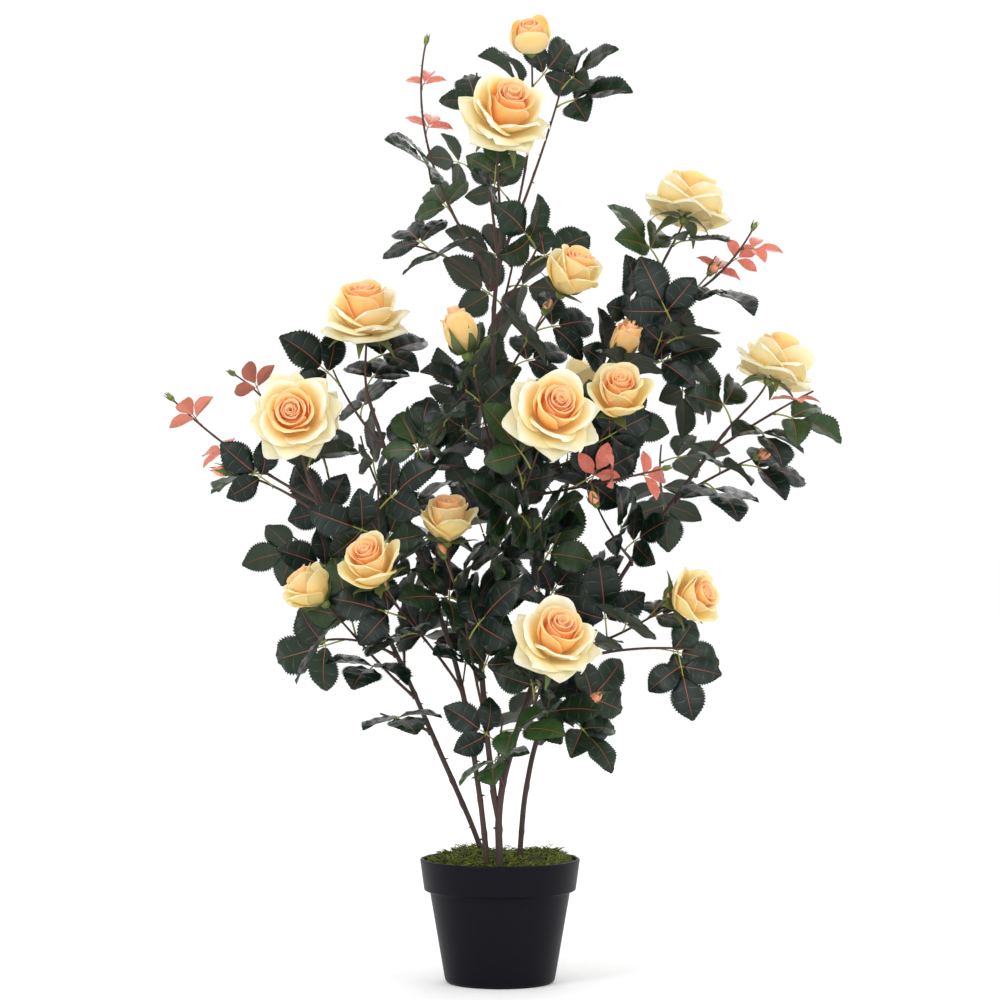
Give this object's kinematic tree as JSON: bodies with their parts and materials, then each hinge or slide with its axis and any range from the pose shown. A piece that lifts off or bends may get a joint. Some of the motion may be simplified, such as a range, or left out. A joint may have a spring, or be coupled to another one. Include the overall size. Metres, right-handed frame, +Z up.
{
  "type": "artificial rose bush in a nursery pot",
  "caption": "Potted artificial rose bush: slim upright canes from a moss-topped pot, with toothed leaves in threes, red young tips, buds and open roses.",
  "frame": {"origin": "middle of the pot's flat underside, which stands on the floor", "axes": "+Z up along the pot's axis; -Y towards the side that most roses face; +X to that side's right"},
  "size_m": [0.7961, 0.4367, 1.1477],
  "materials": {
    "pot_plastic": "matt black moulded plastic",
    "moss": "preserved moss over a cement weight",
    "bark": "matt brown plastic coat on wire",
    "foliage": "printed polyester, slight sheen",
    "petals": "soft matt polyester"
  },
  "bodies": {
    "root": {"pot": "pot_plastic", "moss_filling": "moss", "cane_left_outer": "bark", "cane_left_inner": "bark", "cane_middle": "bark", "cane_tall": "bark", "cane_right": "bark", "cane_right_high": "bark", "rose_top": "petals", "rose_left_high": "petals", "rose_left": "petals", "rose_right_high": "petals", "rose_right": "petals", "rose_back_right": "petals", "rose_middle": "petals", "rose_low": "petals", "rose_back_left": "petals", "rose_upper": "petals", "rose_half_hidden": "petals", "rose_inner": "petals", "rose_left_mid": "petals", "rose_left_low": "petals", "rose_right_low": "petals", "rose_back_low": "petals", "bud_top": "foliage", "bud_middle": "foliage", "bud_right": "foliage", "tip_high_left": "foliage", "tip_left": "foliage", "tip_right": "foliage", "tip_left_back": "foliage", "tip_middle": "foliage", "spray_top_left": "foliage", "spray_top_right": "foliage", "spray_neck_left": "foliage", "spray_neck_right": "foliage", "spray_neck_back": "foliage", "spray_left_crown": "foliage", "spray_left_gap": "foliage", "spray_left_inner": "foliage", "spray_left_arm": "foliage", "spray_left_flank": "foliage", "spray_left_middle": "foliage", "spray_left_droop": "foliage", "spray_low_left": "foliage", "spray_low_back": "foliage", "spray_low_front": "foliage", "spray_low_centre": "foliage", "spray_low_right": "foliage", "spray_right_droop": "foliage", "spray_centre": "foliage", "spray_centre_back": "foliage", "spray_right_front": "foliage", "spray_right_arm": "foliage", "spray_right_tip": "foliage", "spray_right_crown": "foliage", "spray_right_face": "foliage", "spray_right_top": "foliage", "spray_right_back": "foliage", "spray_high_back": "foliage"}
  },
  "joints": []
}
